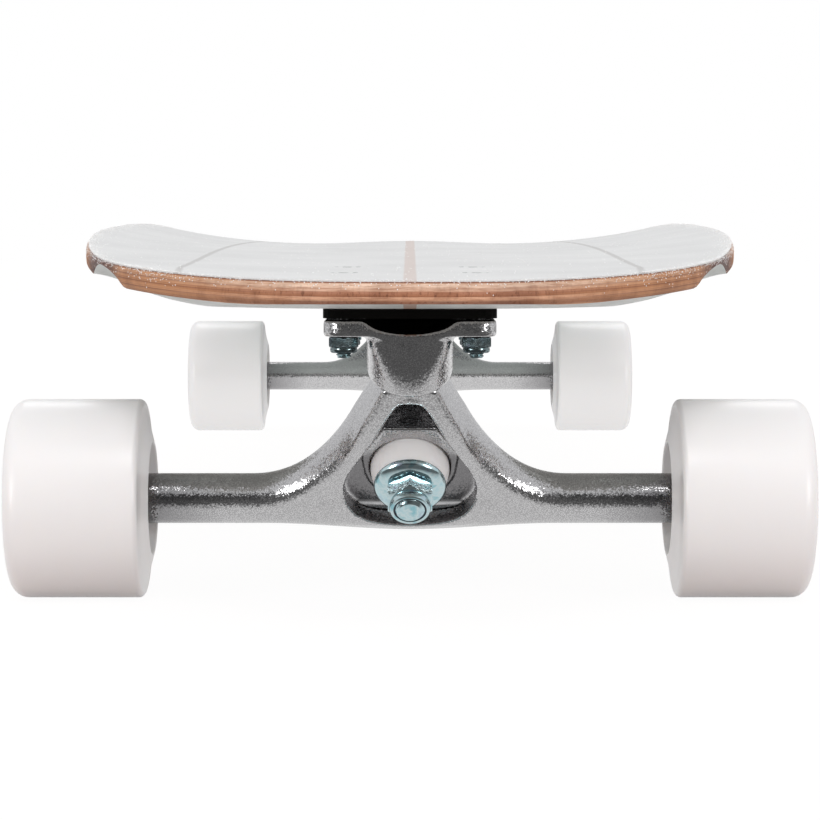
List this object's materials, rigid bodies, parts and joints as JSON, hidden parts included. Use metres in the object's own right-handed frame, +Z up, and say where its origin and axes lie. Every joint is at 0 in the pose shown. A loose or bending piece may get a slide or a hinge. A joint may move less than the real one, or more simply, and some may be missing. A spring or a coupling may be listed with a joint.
{
  "type": "longboard skateboard",
  "caption": "Longboard with a cambered, concave laminated deck on reverse kingpin trucks that steer as it leans, rolling on wide urethane wheels.",
  "frame": {"origin": "on the ground, under the middle of the board", "axes": "+X to the rider's left, +Y to the rear end of the board, +Z up"},
  "size_m": [0.26, 0.994, 0.1224],
  "materials": {
    "wood": "lacquered hardwood plies",
    "grit": "pale gritty non-slip coating",
    "casting": "tumbled and polished casting",
    "zinc": "zinc plated, blue passivated",
    "steel": "bare ground steel",
    "black_steel": "black oxide",
    "riser": "matt black",
    "white_urethane": "smooth cast urethane",
    "dark_urethane": "smooth cast urethane",
    "core": "moulded glass-filled nylon"
  },
  "bodies": {
    "board": {"deck": "wood", "grip_layer": "grit", "front_riser": "riser", "front_baseplate": "casting", "front_deck_bolt_1": "black_steel", "front_deck_bolt_2": "black_steel", "front_deck_bolt_3": "black_steel", "front_deck_bolt_4": "black_steel", "front_deck_nut_1": "zinc", "front_deck_nut_2": "zinc", "front_deck_nut_3": "zinc", "front_deck_nut_4": "zinc", "front_pivot_cup": "dark_urethane", "front_kingpin": "zinc", "front_kingpin_nut": "zinc", "front_roadside_washer": "zinc", "front_boardside_washer": "zinc", "front_roadside_bushing": "white_urethane", "front_boardside_bushing": "dark_urethane", "rear_riser": "riser", "rear_baseplate": "casting", "rear_deck_bolt_1": "black_steel", "rear_deck_bolt_2": "black_steel", "rear_deck_bolt_3": "black_steel", "rear_deck_bolt_4": "black_steel", "rear_deck_nut_1": "zinc", "rear_deck_nut_2": "zinc", "rear_deck_nut_3": "zinc", "rear_deck_nut_4": "zinc", "rear_pivot_cup": "dark_urethane", "rear_kingpin": "zinc", "rear_kingpin_nut": "zinc", "rear_roadside_washer": "zinc", "rear_boardside_washer": "zinc", "rear_roadside_bushing": "white_urethane", "rear_boardside_bushing": "dark_urethane"},
    "front_hanger_body": {"front_hanger": "casting", "front_axle": "steel", "front_left_axle_nut": "zinc", "front_right_axle_nut": "zinc"},
    "front_left_wheel": {"front_left_tyre": "white_urethane", "front_left_core": "core", "front_left_inner_bearing": "steel", "front_left_outer_bearing": "steel"},
    "front_right_wheel": {"front_right_tyre": "white_urethane", "front_right_core": "core", "front_right_inner_bearing": "steel", "front_right_outer_bearing": "steel"},
    "rear_hanger_body": {"rear_hanger": "casting", "rear_axle": "steel", "rear_left_axle_nut": "zinc", "rear_right_axle_nut": "zinc"},
    "rear_left_wheel": {"rear_left_tyre": "white_urethane", "rear_left_core": "core", "rear_left_inner_bearing": "steel", "rear_left_outer_bearing": "steel"},
    "rear_right_wheel": {"rear_right_tyre": "white_urethane", "rear_right_core": "core", "rear_right_inner_bearing": "steel", "rear_right_outer_bearing": "steel"}
  },
  "joints": [
    {"name": "front_steer", "type": "hinge", "parent": "board", "child": "front_hanger_body", "pos_m": [0, -0.38, 0.04824], "axis": [0, -0.6428, 0.766], "range_deg": [-20, 20], "stiffness_Nm_per_rad": 30, "deforming": ["front_roadside_bushing", "front_boardside_bushing"]},
    {"name": "front_left_wheel_spin", "type": "hinge", "parent": "front_hanger_body", "child": "front_left_wheel", "pos_m": [0.1036, -0.37, 0.03234], "axis": [1, 0, 0], "continuous": true},
    {"name": "front_right_wheel_spin", "type": "hinge", "parent": "front_hanger_body", "child": "front_right_wheel", "pos_m": [-0.1036, -0.37, 0.03234], "axis": [1, 0, 0], "continuous": true},
    {"name": "rear_steer", "type": "hinge", "parent": "board", "child": "rear_hanger_body", "pos_m": [0, 0.38, 0.04824], "axis": [0, 0.6428, 0.766], "range_deg": [-20, 20], "stiffness_Nm_per_rad": 30, "deforming": ["rear_roadside_bushing", "rear_boardside_bushing"]},
    {"name": "rear_left_wheel_spin", "type": "hinge", "parent": "rear_hanger_body", "child": "rear_left_wheel", "pos_m": [0.1036, 0.37, 0.03234], "axis": [1, 0, 0], "continuous": true},
    {"name": "rear_right_wheel_spin", "type": "hinge", "parent": "rear_hanger_body", "child": "rear_right_wheel", "pos_m": [-0.1036, 0.37, 0.03234], "axis": [1, 0, 0], "continuous": true}
  ]
}
